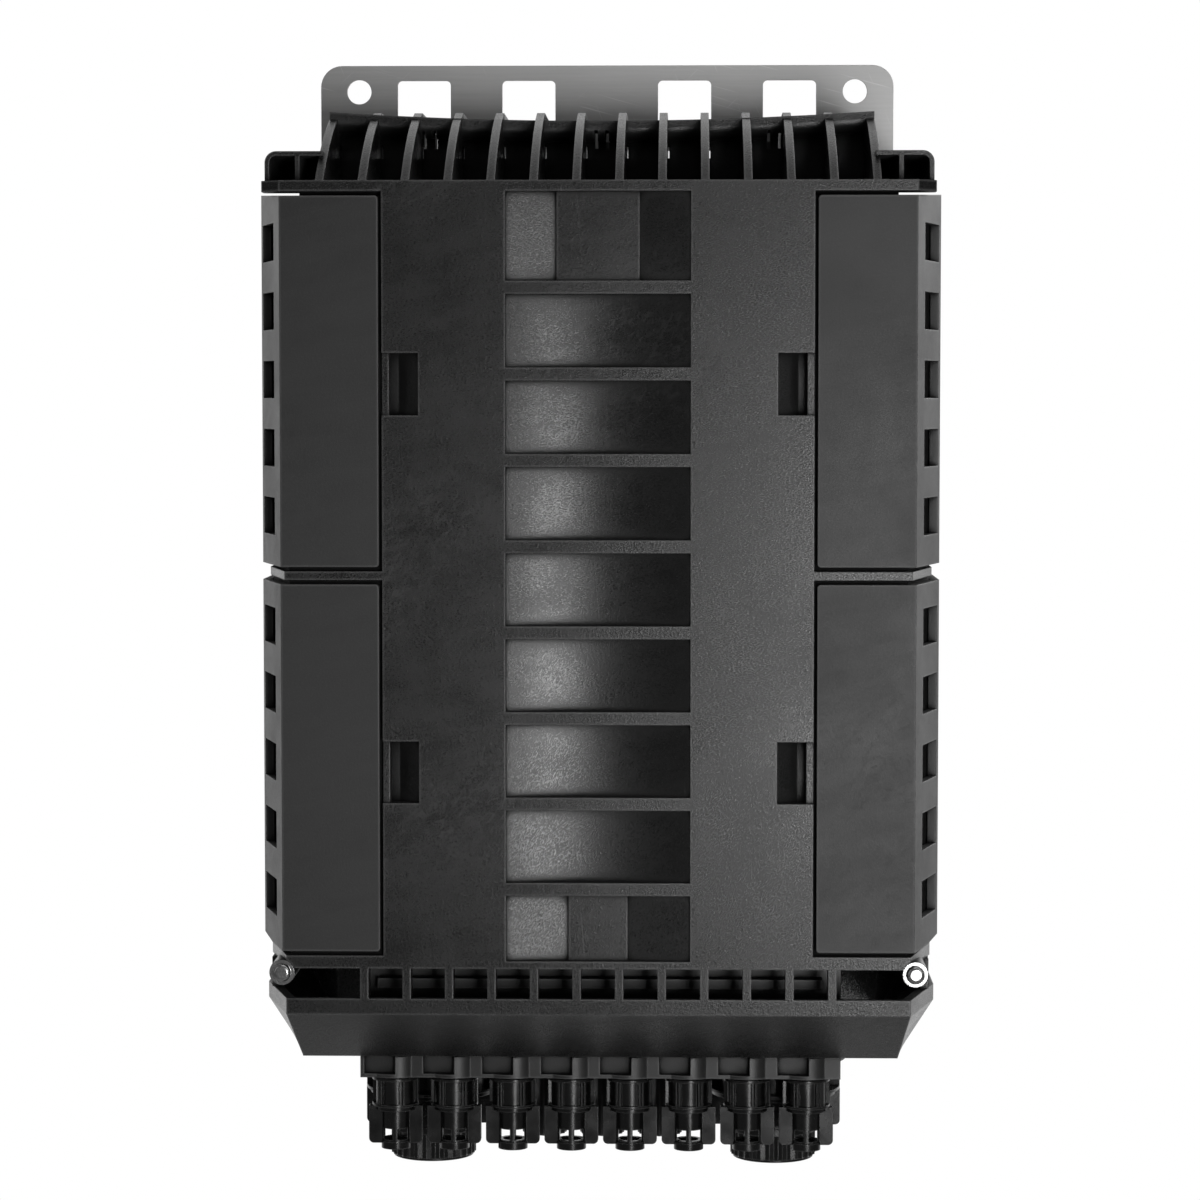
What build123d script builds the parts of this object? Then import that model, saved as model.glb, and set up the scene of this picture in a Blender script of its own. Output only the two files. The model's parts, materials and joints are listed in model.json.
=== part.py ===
from build123d import *
import math
import os

# Fibre splice closure. X runs across, Z up, and Y from the front panel back to the pole face at zero.
# The origin is midway between the two bolt holes, on the pole face of the bracket. All sizes are in mm.

# Overall sizes
DEPTH = 150.0  # front panel to pole face
HOLE_RISE = 46.0  # bolt holes above the top flange
PARTING = 72.0  # front panel to the middle of the parting gap
PARTING_GAP = 1.0  # gap between the shell flanges, filled by the gasket
COVER_FLANGE_T = 5.5
BRACKET_GAP = 2.0  # back of the base to the bracket's plate
FRONT_HALF = 122.5  # half width at the front creases
SIDE_SPREAD = 11.5  # how much wider each side is behind its slope
SLOPE_DEPTH = 40.0  # depth over which the sides slope out
WALL = 3.2  # wall of both shells

# Heights down the front, from the top flange to the foot
FLANGE_T = 4.2
CLAMP_GAP = 1.7
CLAMP_H = 142.6
DIVIDER_T = 3.3
BAR_T = 5.0
WINDOW_H = 11.8
BAND_H = 6.2
SKIRT_H = 22.0

# Clamps and their hinges
CLAMP_T = 3.4
CLAMP_CLEAR = 0.8  # clamp to shell
CLAMP_FACE_W = 39.3  # panel edge to front crease
PANEL_GAP = 1.3  # panel edge to clamp edge
PIN_DEPTH = 118.0
PIN_R = 2.0
PIN_CLEAR = 0.08
KNUCKLE_R = 6.5
LUG_R = 5.6
LUG_L = 10.0
LUG_INSET = 3.0  # clamp end to first lug
HINGE_CLEAR = 0.5
CLAMP_WINDOWS = 5
CLAMP_WINDOW_H = 14.5
CLAMP_WINDOW_PITCH = 26.6
CLAMP_WINDOW_LIFT = 1.0  # windows above the clamp's middle
CLAMP_WINDOW_DEPTH = (12.0, 36.5)
CLAMP_RISE = 2.2  # how much higher the upper clamps stand behind their slope
CLAMP_CHAMFER = (5.0, 2.0)  # across and up, at the foot of the lower clamps
LATCH_DEPTH = 55.0  # front panel to the latch rib
LATCH_W = 4.0
LATCH_RISE = 1.6

# Fins on the crown
FINS = 14
FIN_PITCH = 16.45
FIN_T = 3.2
FIN_RISE = 31.0
FIN_BOW = 2.0  # how far the fins' front edge bows out
FIN_CREST = 3.5  # fall of the fins' straight top over the rim
RIM_H = 8.5
RIM_ROUND = 5.0
RIM_SAG = 3.6  # how far the rim dips in the middle
RIM_DEPTH = 14.0
CREST_T = 3.0  # transverse wall between the fins
SLIT_W = 0.7
SLIT_Z = (12.6, 17.6)  # slits beside the fins, above the top flange
SHOULDER_RISE = 12.0
SHOULDER_FRONT = 14.0
SHOULDER_WALL = 1.8
SHOULDER_INSET = 0.3  # shoulder inside the shell's side
SHOULDER_RIB = 13.6  # shoulder's side to its rib
NECK_INSET = 7.1  # front crease to the side of the neck
NECK_FRONT = 8.0  # depth of the groove under the top flange
FLANGE_SPREAD = 7.5  # top flange's ends beyond the front crease
FLANGE_SLOPE = 6.0
FLANGE_ROUND = 2.0

# Sunk channel down the front
CHANNEL_W = 71.3
CHANNEL_EDGE = 2.0
CHANNEL_DEEP = 7.0
CHANNEL_BARS = 8
CHANNEL_BAR_T = 5.0
CHANNEL_FOOT_H = 23.6  # last bar to the bar under the clamps
CHANNEL_TOP = 38.5  # top flange to the first bar
CHANNEL_PAD = 16.0  # half width of the raised pad in the top cell
CHANNEL_PAD_DEEP = 3.0
CHANNEL_PAD_STEP = 1.6
CHANNEL_FOOT_PAD = 11.5

# Pry recesses beside the clamps
PRY_W = 14.0
PRY_H = 24.0
PRY_DEEP = 8.0
PRY_SHALLOW = 3.0
PRY_FLOOR_W = 3.3  # level floor at the deep side
PRY_LEDGE = (2.7, 1.6)  # width and drop of the ledge at the panel's edge
PRY_DROP = (60.2, 60.8)  # clamp top to recess, upper and lower clamp

# Slotted foot and skirt
LADDER_RIBS = 12
LADDER_PITCH = 16.5
LADDER_T = 3.3
LADDER_DEPTH = 9.0
SKIRT_WALL = 3.0
SKIRT_INSET = 1.4  # skirt inside the clamps' faces
SKIRT_BACK = 30.0  # how far the foot of the skirt steps back
FOOT_TAPER = (3.2, 13.5)  # how far the front corner and the side draw in at the foot
FOOT_SLOPE = 14.0

# Captive screws at the foot
SCREW_INSET = 11.0  # clamp's side to screw
SCREW_DROP = 2.0  # top of the foot's windows to the screws
SCREW_HEAD_R = 3.6
SCREW_HEAD_H = 2.0
SCREW_WASHER_R = 4.9
SCREW_R = 2.5
SCREW_L = 79.0
SCREW_BOSS_R = 5.0
SCREW_BOSS_FRONT = 3.0
SCREW_WASHER_T = 1.2
SCREW_SINK_CLEAR = 0.4

# Steel bracket
BRACKET_W = 242.5
BRACKET_T = 2.0
BRACKET_UP = 11.0  # bolt holes to the top edge
BRACKET_DOWN = 25.0
BRACKET_R = 9.0
BOLT_SPACING = 210.0
BOLT_R = 5.15
STRAP_CUT = 22.5
STRAP_CUT_UP = 4.7
STRAP_CUT_X = (33.0, 77.4)
STRAP_CUT_R = 2.0
HOOK_X = 69.0
HOOK_T = 3.0
HOOK_SLOT_W = 5.8
HOOK_SLOT_H = 8.1
HOOK_SLITS = (4.4, 1.3)  # spacing and width of the two slits in front of each hook
HOOK_SLIT_Z = (16.5, 23.0)  # the same slits, above the top flange
BRACKET_SCREW_X = (50.0, 98.0)
BRACKET_SCREW_Z = -20.0
BRACKET_SCREW_R = 2.0
BRACKET_HEAD_R = 3.9
BRACKET_SCREW_L = 10.0
SINK_CLEAR = 0.1
BRACKET_BOSS_R = 4.2
BACK_RIB_RISE = 1.5  # stiffening ribs stand this far behind the base
BACK_RIB_T = 2.5
BACK_RIBS = 6
BACK_RIB_PITCH = 36.0
BACK_RIB_INSET = 12.0

# Gasket
SEAL_W = 4.0
SEAL_T = 4.0

# Base floor and port block
FLOOR_RISE = 4.0  # bar under the clamps to the floor of the base
FLOOR_T = 4.5
FLOOR_CLEAR = 0.6
FLOOR_FIT = 0.1  # floor plate to the base's walls
FLOOR_LEDGE = 3.0  # ledge under the floor plate
BASE_CORNER = (5.0, 10.0)  # the base's rear corners, across and deep
PORT_FLANGE_T = 4.0
PORT_DROP = 9.3  # foot of the skirt to the foot of the port block
PORT_LIP_RISE = 3.4  # foot of the windows to the lip seen through them
PORT_LIP_T = 4.0
PORT_LIP_HALF = 88.0
PORT_BACK = 116.0
PORT_WALL = 2.5
PORT_POCKET_W = 12.4  # pockets in the front of the deck
PORT_POCKET_SHIFT = -5.5  # gland to pocket
PORT_POCKET_DEEP = 4.0
PORT_POCKET_SILL = 1.6
PORT_STEP = 2.0  # walls inside the flange's edge

# Small glands
SMALL_GLANDS = 8
SMALL_PITCH = 23.5
SMALL_DEPTH = 45.0
SMALL_NUT_R = 9.45
SMALL_CORE_R = 6.85
SMALL_BORE_R = 4.0
SMALL_BOSS_R = 13.3
SMALL_WING = 21.6
SMALL_BARREL_R = 5.6

# Large glands
LARGE_X = 70.0
LARGE_DEPTH = 85.0
LARGE_NUT_R = 27.5
LARGE_CORE_R = 20.0
LARGE_BORE_R = 14.0
LARGE_BOSS_R = 30.0
LARGE_BARREL_R = 17.5
LARGE_CAP_H = 11.0
LARGE_CAP_RIBS = 30

# Sizes that both kinds of gland share
NUT_GAP = 1.2  # port block to nut
NUT_H = 11.7
NUT_WINDOWS = 6
NUT_RIM = 1.1
NUT_CLEAR = 0.3
MULLION = 0.9
MULLION_SPREAD = 4.2  # each mullion's angle from the middle of its pair
NUT_WALL = 0.9
WING_H = 17.1
WING_ROUND = 2.0
WING_T = 3.2
SPIGOT_L = 16.0
SPIGOT_CLEAR = 0.3
GLAND_WINDOW = (3.6, 4.4)
GLAND_POST = 2.0
END_RING = 3.0
NUT_TURNS = (-10.0, -1.0, -3.0, 3.0, 0.0, 1.5, -13.0, 2.0)  # how far each nut is turned, in degrees

# Plugs of the spare ports behind the small glands
REAR_PLUGS = 3
REAR_DEPTH = 70.0
PLUG_R = 9.6
PLUG_L = 29.0
PLUG_BORE_R = 7.0

# Inside: trays, rack, storage basket and cable anchor bar
TRAYS = 6
TRAY_W = 160.0
TRAY_H = 138.0
TRAY_T = 8.0
TRAY_PITCH = 9.0
TRAY_FLOOR = 1.6
TRAY_WALL = 1.6
TRAY_FRONT = 30.0
TRAY_DROP = 30.0
HUB_R = 16.0
COMB_H = 24.0
COMB_DROP = 12.0
COMB_PITCH = 8.0
LID_T = 2.0
STRAP_W = 14.0
STRAP_T = 1.2
RACK_W = 120.0
RACK_T = 4.0
RACK_PLATE_H = 30.0
RACK_WEB = 40.0
RACK_WEB_T = 3.0
BASKET_T = 2.2
BASKET_DEPTH = 24.0
BASKET_SPREAD = 14.0  # basket beyond the trays on each side
BASKET_LIP = 14.0
BASKET_LIPS = 3
BASKET_LIP_PITCH = 56.0
ANCHOR_DROP = 240.0
ANCHOR_W = 190.0
ANCHOR_H = 16.0
ANCHOR_T = 2.5
ANCHOR_DEPTH = 100.0
POST_R = 4.0
POSTS = 4
POST_PITCH = 52.0

# Heights worked out from the sizes above
z_top = -HOLE_RISE
z_neck = z_top - FLANGE_T
z_upper = z_neck - CLAMP_GAP
z_divider = z_upper - CLAMP_H - CLAMP_GAP
z_lower = z_divider - DIVIDER_T - CLAMP_GAP
z_bar = z_lower - CLAMP_H - CLAMP_GAP
z_window = z_bar - BAR_T
z_band = z_window - WINDOW_H
z_skirt = z_band - BAND_H
z_foot = z_skirt - SKIRT_H
z_crown = z_top + FIN_RISE
z_floor = z_bar + FLOOR_RISE
z_port = z_floor - FLOOR_T
z_port_foot = z_foot - PORT_DROP
z_lip = z_band + PORT_LIP_RISE
z_screw = z_window - SCREW_DROP
channel_pitch = (z_top - CHANNEL_TOP - CHANNEL_BAR_T - CHANNEL_FOOT_H - z_bar) / (CHANNEL_BARS - 1)
base_back = DEPTH - BRACKET_T - BRACKET_GAP
side_half = FRONT_HALF + SIDE_SPREAD
panel_half = FRONT_HALF - CLAMP_FACE_W
neck_half = FRONT_HALF - NECK_INSET
pin_half = side_half - KNUCKLE_R
screw_half = side_half - SCREW_INSET
skirt_front_half = FRONT_HALF - SKIRT_INSET
skirt_side_half = side_half - SKIRT_INSET
foot_front_half = skirt_front_half - FOOT_TAPER[0]
foot_side_half = skirt_side_half - FOOT_TAPER[1]
cover_back = PARTING - PARTING_GAP / 2
base_front = PARTING + PARTING_GAP / 2
shell_half = side_half - CLAMP_T - CLAMP_CLEAR
shoulder_half = shell_half - SHOULDER_INSET
recess = CLAMP_T + CLAMP_CLEAR / 2
base_half = pin_half - KNUCKLE_R - 2.0
floor_front = CHANNEL_DEEP + WALL + FLOOR_CLEAR
inner_slope_end = SLOPE_DEPTH + WALL
floor_slope_end = inner_slope_end + FLOOR_CLEAR
seal_outer = base_half - WALL + 1 + SEAL_W
seal_crown = z_upper - 1.5


def y_of(depth):
    return depth - DEPTH


def block(x, depth, z):
    size = (x[1] - x[0], depth[1] - depth[0], z[1] - z[0])
    middle = ((x[0] + x[1]) / 2, y_of((depth[0] + depth[1]) / 2), (z[0] + z[1]) / 2)
    return Pos(*middle) * Box(*size)


def plan_face(points, z):
    return Pos(0, 0, z) * make_face(Polyline([(x, y_of(d)) for x, d in points], close=True))


def plan(points, z):
    """A prism with its outline in plan, given as (x, depth) points, between two heights."""
    return extrude(plan_face(points, z[0]), amount=z[1] - z[0], dir=(0, 0, 1))


def side(points, x):
    """A prism with its outline seen from the side, given as (depth, z) points, between two x values."""
    outline = make_face(Polyline([(x[0], y_of(d), z) for d, z in points], close=True))
    return extrude(outline, amount=x[1] - x[0], dir=(1, 0, 0))


def rod_z(x, depth, radius, z):
    return Pos(x, y_of(depth), (z[0] + z[1]) / 2) * Cylinder(radius, z[1] - z[0])


def rod_y(x, z, radius, depth):
    middle = y_of((depth[0] + depth[1]) / 2)
    return Pos(x, middle, z) * Rot(90, 0, 0) * Cylinder(radius, depth[1] - depth[0])


def both(shape):
    """The shape and its mirror image across the middle plane."""
    return [shape, mirror(shape, Plane.YZ)]


def trapezium(front_half, side_half, front, slope, back):
    """Plan outline with a flat front, sloping corners and straight sides."""
    right = [(front_half, front), (side_half, front + slope), (side_half, back)]
    return right + [(-x, d) for x, d in reversed(right)]


def row(count, pitch):
    return [(k - (count - 1) / 2) * pitch for k in range(count)]


# The clamps' place on the shells

def slope_offset(distance):
    """How much narrower the front crease gets when the sloping side moves in by a distance."""
    return distance * (math.hypot(SIDE_SPREAD, SLOPE_DEPTH) - SIDE_SPREAD) / SLOPE_DEPTH


def lug_heights(z_clamp_top):
    first = z_clamp_top - LUG_INSET
    last = z_clamp_top - CLAMP_H + LUG_INSET + LUG_L
    return [first, (first + last) / 2, last]


# Front cover

def fin(x, profile):
    return extrude(Pos(x - FIN_T / 2, 0, 0) * profile, amount=FIN_T, dir=(1, 0, 0))


def cover_fins():
    foot = (0, y_of(0), z_top)
    crown = (0, y_of(cover_back), z_crown)
    crest = (0, y_of(cover_back - RIM_DEPTH), z_crown - FIN_CREST)
    middle = (0, (foot[1] + crest[1]) / 2 - FIN_BOW, (foot[2] + crest[2]) / 2 + FIN_BOW)
    corner = (0, y_of(cover_back), z_top)
    profile = make_face([ThreePointArc(foot, middle, crest), Line(crest, crown), Line(crown, corner),
                         Line(corner, foot)])
    return [fin(x, profile) for x in row(FINS, FIN_PITCH)]


def crest_half():
    return (FINS - 1) / 2 * FIN_PITCH + FIN_T / 2


def rim_face(depth):
    """Arched strip across the crown, seen from the front."""
    half = crest_half()
    y = y_of(depth)
    low_left, low_right = (-half, y, z_crown - RIM_H), (half, y, z_crown - RIM_H)
    top_left, top_right = (-half, y, z_crown - 0.6), (half, y, z_crown - 0.6)
    low_mid, top_mid = (0, y, z_crown - RIM_H - RIM_SAG), (0, y, z_crown - 0.6 - RIM_SAG)
    return make_face([ThreePointArc(low_left, low_mid, low_right), Line(low_right, top_right),
                      ThreePointArc(top_right, top_mid, top_left), Line(top_left, low_left)])


def crest_wall(depth):
    """The shell's transverse wall between the fins, closed at the top by the rim."""
    half = crest_half()
    wall = block((-half, half), depth, (z_top, z_crown - RIM_H))
    rim = extrude(rim_face(depth[0]), amount=depth[1] - depth[0], dir=(0, 1, 0))
    return [wall, rim]


def crest_rim():
    """The cover's forward rim, rounded under its front edge."""
    rim = extrude(rim_face(cover_back - RIM_DEPTH), amount=RIM_DEPTH, dir=(0, 1, 0))
    return fillet(rim.edges().group_by(Axis.Y)[0].sort_by(Axis.Z)[0], RIM_ROUND)


def crest_cuts(depth):
    """Thin slits beside the fins and a pair in front of each bracket hook."""
    slits = []
    for x in row(FINS, FIN_PITCH)[:-1]:
        edge = x + FIN_T / 2
        slits.append(block((edge, edge + SLIT_W), depth, (z_top + SLIT_Z[0], z_top + SLIT_Z[1])))
    spacing, width = HOOK_SLITS
    z = (z_top + HOOK_SLIT_Z[0], z_top + HOOK_SLIT_Z[1])
    for hook in (-HOOK_X, 0, HOOK_X):
        for x in (hook - spacing / 2, hook + spacing / 2):
            slits.append(block((x - width / 2, x + width / 2), depth, z))
    return slits


def shoulder(depth, floor_rise):
    """Open-fronted box at each end of the crown."""
    inner_half = crest_half() - FIN_T / 2
    top = z_top + SHOULDER_RISE
    bottom = z_top + floor_rise
    box = block((inner_half, shoulder_half), depth, (bottom, top))
    box = fillet(box.edges().filter_by(Axis.Y).group_by(Axis.X)[-1].group_by(Axis.Z)[-1], 4.5)
    rib_x = shoulder_half - SHOULDER_RIB
    inner = block((inner_half - 1, shoulder_half - SHOULDER_WALL),
                  (depth[0] - 1, depth[1] - SHOULDER_WALL), (bottom - 1, top - SHOULDER_WALL))
    inner = fillet(inner.edges().filter_by(Axis.Y).group_by(Axis.X)[-1].group_by(Axis.Z)[-1], 2.7)
    rib = block((rib_x, rib_x + SHOULDER_WALL), depth, (bottom, top - SHOULDER_WALL / 2))
    return [box - inner, rib]


def channel_cuts():
    """Sunk cells of the front channel, with concave floors between flush cross bars."""
    half = CHANNEL_W / 2
    front = y_of(-1)
    edge, deep = y_of(CHANNEL_EDGE), y_of(CHANNEL_DEEP)
    hollow = make_face([Line((half, edge), (half, front)), Line((half, front), (-half, front)),
                        Line((-half, front), (-half, edge)),
                        ThreePointArc((-half, edge), (0, deep), (half, edge))])
    first = z_top - CHANNEL_TOP
    cell = channel_pitch - CHANNEL_BAR_T
    cuts = []
    for k in range(CHANNEL_BARS - 1):
        top = first - k * channel_pitch - CHANNEL_BAR_T
        cuts.append(extrude(Pos(0, 0, top - cell) * hollow, amount=cell, dir=(0, 0, 1)))
    last = first - (CHANNEL_BARS - 1) * channel_pitch - CHANNEL_BAR_T
    for pad, z in ((CHANNEL_PAD, (first, z_top - FLANGE_T)), (CHANNEL_FOOT_PAD, (z_bar - 2, last))):
        shape = [(half, -1), (half, CHANNEL_EDGE), (pad, CHANNEL_PAD_DEEP + CHANNEL_PAD_STEP),
                 (pad, CHANNEL_PAD_DEEP)]
        cuts.append(plan(shape + [(-x, d) for x, d in reversed(shape)], z))
    return cuts


def pry_cuts():
    """Wedge recesses that let a screwdriver reach behind the clamps' edges."""
    cuts = []
    for z_clamp, drop in ((z_upper, PRY_DROP[0]), (z_lower, PRY_DROP[1])):
        ledge = panel_half - PRY_LEDGE[0]
        outline = [(panel_half + 1, -1), (panel_half + 1, PRY_LEDGE[1]), (ledge, PRY_LEDGE[1]),
                   (ledge, PRY_DEEP), (ledge - PRY_FLOOR_W, PRY_DEEP),
                   (panel_half - PRY_W, PRY_SHALLOW), (panel_half - PRY_W, -1)]
        cuts += both(plan(outline, (z_clamp - drop - PRY_H, z_clamp - drop)))
    return cuts


def hood(inset, z):
    """Tapered skirt as a solid, drawn in by an inset, with its straight band above its slope."""
    upper = trapezium(skirt_front_half - inset, skirt_side_half - inset, inset, SLOPE_DEPTH, cover_back)
    foot = trapezium(foot_front_half - inset, foot_side_half - inset, SKIRT_BACK + inset, FOOT_SLOPE,
                     cover_back)
    band = plan(upper, (z_skirt, z))
    slope = loft([plan_face(upper, z_skirt), plan_face(foot, z_foot)], ruled=True)
    return band + slope


def skirt():
    shell = hood(0, z_band) - hood(SKIRT_WALL, z_band)
    # The rear rim is open, where the base's own skirt carries on
    return shell - block((-foot_side_half + SKIRT_WALL, foot_side_half - SKIRT_WALL),
                         (cover_back - SKIRT_WALL, cover_back), (z_foot, z_band))


def front_cover():
    crease = FRONT_HALF - slope_offset(CLAMP_T + CLAMP_CLEAR)
    body = plan(trapezium(crease, shell_half, recess, SLOPE_DEPTH - recess, cover_back), (z_window, z_upper))
    panel = block((-panel_half, panel_half), (0, recess + WALL), (z_window, z_top))
    neck = block((-neck_half, neck_half), (NECK_FRONT, cover_back), (z_upper, z_top))
    lip = plan(trapezium(FRONT_HALF, FRONT_HALF + FLANGE_SPREAD, 0, FLANGE_SLOPE,
                         SHOULDER_FRONT + SHOULDER_WALL), (z_neck, z_top))
    ends = lip.edges().filter_by(Axis.Z).group_by(Axis.X)
    lip = fillet(ends[0] + ends[-1], FLANGE_ROUND)
    divider = plan(trapezium(FRONT_HALF - 1.5, shell_half + 1.2, 0, SLOPE_DEPTH, cover_back),
                   (z_divider - DIVIDER_T, z_divider))
    bar = plan(trapezium(FRONT_HALF - 1.5, shell_half + 1.2, 0, SLOPE_DEPTH, cover_back), (z_window, z_bar))
    posts = both(block((shell_half - WALL, shell_half), (SLOPE_DEPTH / 2 + 8, cover_back), (z_band, z_window)))
    ribs = [block((x - LADDER_T / 2, x + LADDER_T / 2), (0, LADDER_DEPTH), (z_band, z_window))
            for x in row(LADDER_RIBS, LADDER_PITCH)]
    shoulders = []
    for piece in shoulder((SHOULDER_FRONT, cover_back), 0.0):
        shoulders += both(piece)
    bosses = both(rod_y(screw_half, z_screw, SCREW_BOSS_R, (SCREW_BOSS_FRONT, cover_back)))
    whole = body + [panel, neck, lip, divider, bar]

    inner_front = crease - WALL
    inner_half = shell_half - WALL
    inner_slope = inner_slope_end - recess - WALL
    cavity_outline = trapezium(inner_front, inner_half, recess + WALL, inner_slope, cover_back + 1)
    ledge = WALL + SEAL_W
    flange_front = cover_back - COVER_FLANGE_T
    cavity = plan(trapezium(inner_front, inner_half, recess + WALL, inner_slope, flange_front),
                  (z_floor + ledge, z_upper - WALL))
    throat = block((-seal_outer + SEAL_W + 1, seal_outer - SEAL_W - 1), (flange_front - 1, cover_back + 1),
                   (z_floor, seal_crown - SEAL_W - 1))
    mouth = plan(trapezium(inner_front - SEAL_W, inner_half - SEAL_W, floor_front + SEAL_W,
                           SLOPE_DEPTH - floor_front - SEAL_W, flange_front), (z_floor, z_floor + ledge + 1))
    below = plan(cavity_outline, (z_window - 1, z_floor + SEAL_T - PARTING_GAP))
    channel_back = block((-CHANNEL_W / 2 - WALL, CHANNEL_W / 2 + WALL), (0, CHANNEL_DEEP + WALL),
                         (z_window, z_neck))
    latch = []
    for z_clamp in (z_upper, z_lower):
        latch += both(block((shell_half - LATCH_RISE - 0.4, shell_half + 5),
                            (LATCH_DEPTH - 1, LATCH_DEPTH + LATCH_W + 1), (z_clamp - CLAMP_H, z_clamp)))
    hollow = whole - [cavity, throat, mouth, below]
    hollow = hollow + (channel_back & (panel + body))
    pry_backs = []
    for z_clamp, drop in ((z_upper, PRY_DROP[0]), (z_lower, PRY_DROP[1])):
        pry_backs += both(block((panel_half - PRY_W - 1.5, panel_half + WALL), (recess, PRY_DEEP + WALL),
                                (z_clamp - drop - PRY_H - 2, z_clamp - drop + 2)))
    hollow = hollow + pry_backs
    hollow = hollow + [skirt()] + posts + ribs + shoulders + bosses + cover_fins()
    hollow = hollow + crest_wall((cover_back - CREST_T, cover_back)) + [crest_rim()]
    holes = both(rod_y(screw_half, z_screw, SCREW_R + 0.3, (0, cover_back + 1)))
    holes += both(rod_y(screw_half, z_screw, SCREW_WASHER_R + SCREW_SINK_CLEAR, (-1, SCREW_BOSS_FRONT)))
    front_cut = (cover_back - RIM_DEPTH - 1, cover_back + 1)
    return hollow - (channel_cuts() + pry_cuts() + latch + holes + crest_cuts(front_cut))


# Side clamps and hinge pins

def clamp(z_clamp, chamfered):
    """C-section clamp for the right side: front plate, sloping wall, straight wall and hinge knuckles."""
    z = (z_clamp - CLAMP_H, z_clamp)
    inner_crease = FRONT_HALF - slope_offset(CLAMP_T)
    inner_half = side_half - CLAMP_T
    edge = panel_half + PANEL_GAP
    outline = [(edge, 0), (FRONT_HALF, 0), (side_half, SLOPE_DEPTH), (side_half, PIN_DEPTH),
               (inner_half, PIN_DEPTH), (inner_half, SLOPE_DEPTH), (inner_crease, CLAMP_T), (edge, CLAMP_T)]
    shell = plan(outline, z)
    shell = fillet(shell.edges().filter_by(Axis.Y).group_by(Axis.X)[0], 1.3)
    rise = 0.0 if chamfered else CLAMP_RISE
    if rise:
        flank = side([(0, z[1] - 1), (0, z[1]), (SLOPE_DEPTH, z[1] + rise), (PIN_DEPTH, z[1] + rise),
                      (PIN_DEPTH, z[1] - 1)], (FRONT_HALF, side_half))
        shell = shell + (flank & plan(outline, (z[1] - 1, z[1] + rise)))
    lugs = lug_heights(z_clamp)
    cuts = []
    for top in lugs:
        cuts.append(block((inner_half - 1, side_half + 1),
                          (PIN_DEPTH - LUG_R - HINGE_CLEAR - 2, PIN_DEPTH + 1),
                          (top - LUG_L - HINGE_CLEAR, top + HINGE_CLEAR)))
    for end in ((lugs[0], z_clamp + rise + 1), (z_clamp - CLAMP_H - 1, lugs[-1] - LUG_L)):
        cuts.append(block((inner_half - 1, side_half + 1),
                          (PIN_DEPTH - LUG_R - HINGE_CLEAR - 2, PIN_DEPTH + 1), end))
    knuckles = []
    for upper, lower in zip(lugs, lugs[1:]):
        span = (lower + HINGE_CLEAR, upper - LUG_L - HINGE_CLEAR)
        knuckles.append(rod_z(pin_half, PIN_DEPTH, KNUCKLE_R, span))
        knuckles.append(block((pin_half, side_half), (PIN_DEPTH - KNUCKLE_R - 1, PIN_DEPTH), span))
    latch = block((inner_half - LATCH_RISE, inner_half + 1), (LATCH_DEPTH, LATCH_DEPTH + LATCH_W),
                  (z[0] + 4, z[1] - 4))
    slope = []
    middle = z_clamp - CLAMP_H / 2 + CLAMP_WINDOW_LIFT
    for dz in row(CLAMP_WINDOWS, CLAMP_WINDOW_PITCH):
        slope.append(block((FRONT_HALF, side_half + 1), CLAMP_WINDOW_DEPTH,
                           (middle + dz - CLAMP_WINDOW_H / 2, middle + dz + CLAMP_WINDOW_H / 2)))
    pin_hole = rod_z(pin_half, PIN_DEPTH, PIN_R + PIN_CLEAR, (z[0] - 1, z[1] + 1))
    piece = (shell - (cuts + slope)) + knuckles + [latch]
    piece = piece - pin_hole
    if chamfered:
        across, up = CLAMP_CHAMFER
        outer = [(side_half - across, z[0] - 1), (side_half + 1, z[0] - 1), (side_half + 1, z[0] + up),
                 (side_half - across, z[0])]
        wedge = make_face(Polyline([(x, y_of(-1), h) for x, h in outer], close=True))
        piece = piece - extrude(wedge, amount=PIN_DEPTH, dir=(0, 1, 0))
    return piece


def hinge_pin(z_clamp):
    lugs = lug_heights(z_clamp)
    return rod_z(pin_half, PIN_DEPTH, PIN_R, (lugs[-1] - LUG_L, lugs[0]))


# Rear base

def base_skirt():
    upper = [(skirt_side_half, base_front), (skirt_side_half, base_back - 6), (foot_side_half, base_back)]
    foot = [(foot_side_half, base_front), (foot_side_half, base_back - 6), (foot_front_half, base_back)]

    def ring(points, inset):
        right = [(points[0][0] - inset, base_front), (points[1][0] - inset, points[1][1] - inset / 2),
                 (points[2][0] - inset, points[2][1] - inset)]
        return right + [(-x, d) for x, d in reversed(right)]

    def solid(inset):
        band = plan(ring(upper, inset), (z_skirt, z_window))
        slope = loft([plan_face(ring(upper, inset), z_skirt), plan_face(ring(foot, inset), z_foot)],
                     ruled=True)
        return band + slope

    return solid(0) - solid(SKIRT_WALL)


def base_fins():
    profile = make_face(Polyline([(0, y_of(base_front), z_top), (0, y_of(base_front), z_crown),
                                  (0, y_of(base_back - 1.5), z_crown), (0, y_of(base_back), z_crown - 1.5),
                                  (0, y_of(base_back), z_top)], close=True))
    return [fin(x, profile) for x in row(FINS, FIN_PITCH)]


def hooks():
    """Tabs on the crown that pass through the bracket's notches and hold it behind."""
    pole_face = DEPTH
    hook_top = -BRACKET_DOWN + HOOK_SLOT_H - 0.8
    shape = [(base_back - 8, z_neck), (base_back - 8, hook_top - 4), (base_back - 4, hook_top),
             (pole_face, hook_top), (pole_face, hook_top - 5), (base_back, hook_top - 5), (base_back, z_neck)]
    return [side(shape, (x - HOOK_T / 2, x + HOOK_T / 2)) for x in (-HOOK_X, 0, HOOK_X)]


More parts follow.
